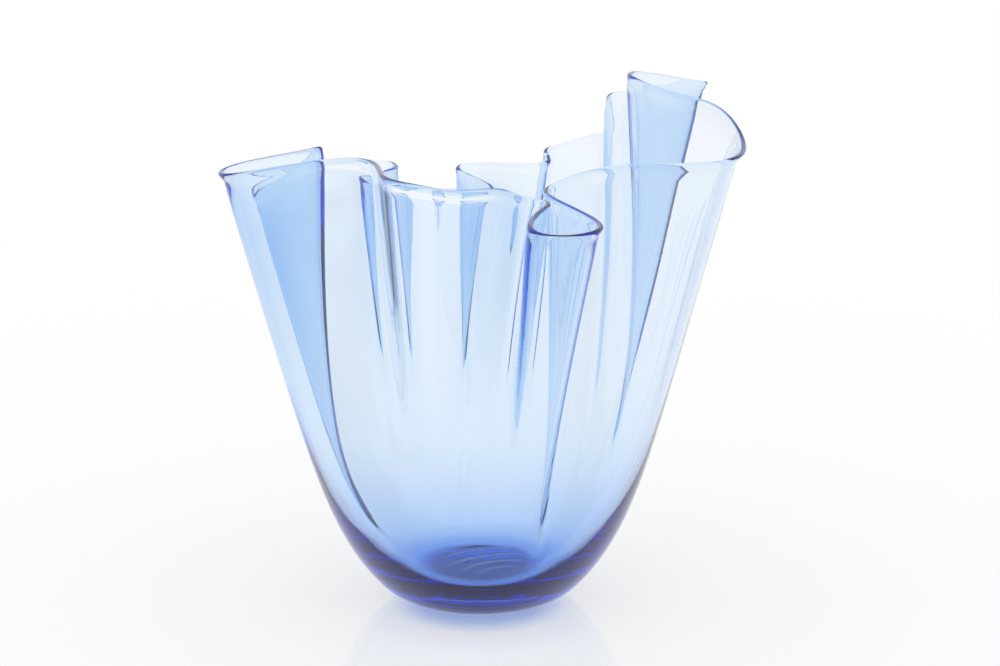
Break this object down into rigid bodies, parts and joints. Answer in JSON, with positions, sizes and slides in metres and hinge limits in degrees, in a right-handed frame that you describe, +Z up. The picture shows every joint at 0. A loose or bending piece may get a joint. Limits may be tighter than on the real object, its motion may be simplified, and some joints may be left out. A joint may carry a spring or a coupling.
{
  "type": "handkerchief vase",
  "caption": "Free-standing vase of clear blue glass with a thick rounded foot and a thin wall that falls in soft folds to a wavy lip, for cut flowers.",
  "frame": {"origin": "centre of the flat foot, on the table", "axes": "+Z up the vase, +X to the right and +Y away from the viewer as the picture shows it"},
  "size_m": [0.2832, 0.2817, 0.2816],
  "materials": {
    "glass": "clear, fire-polished"
  },
  "bodies": {
    "root": {"folded_vessel": "glass"}
  },
  "joints": []
}
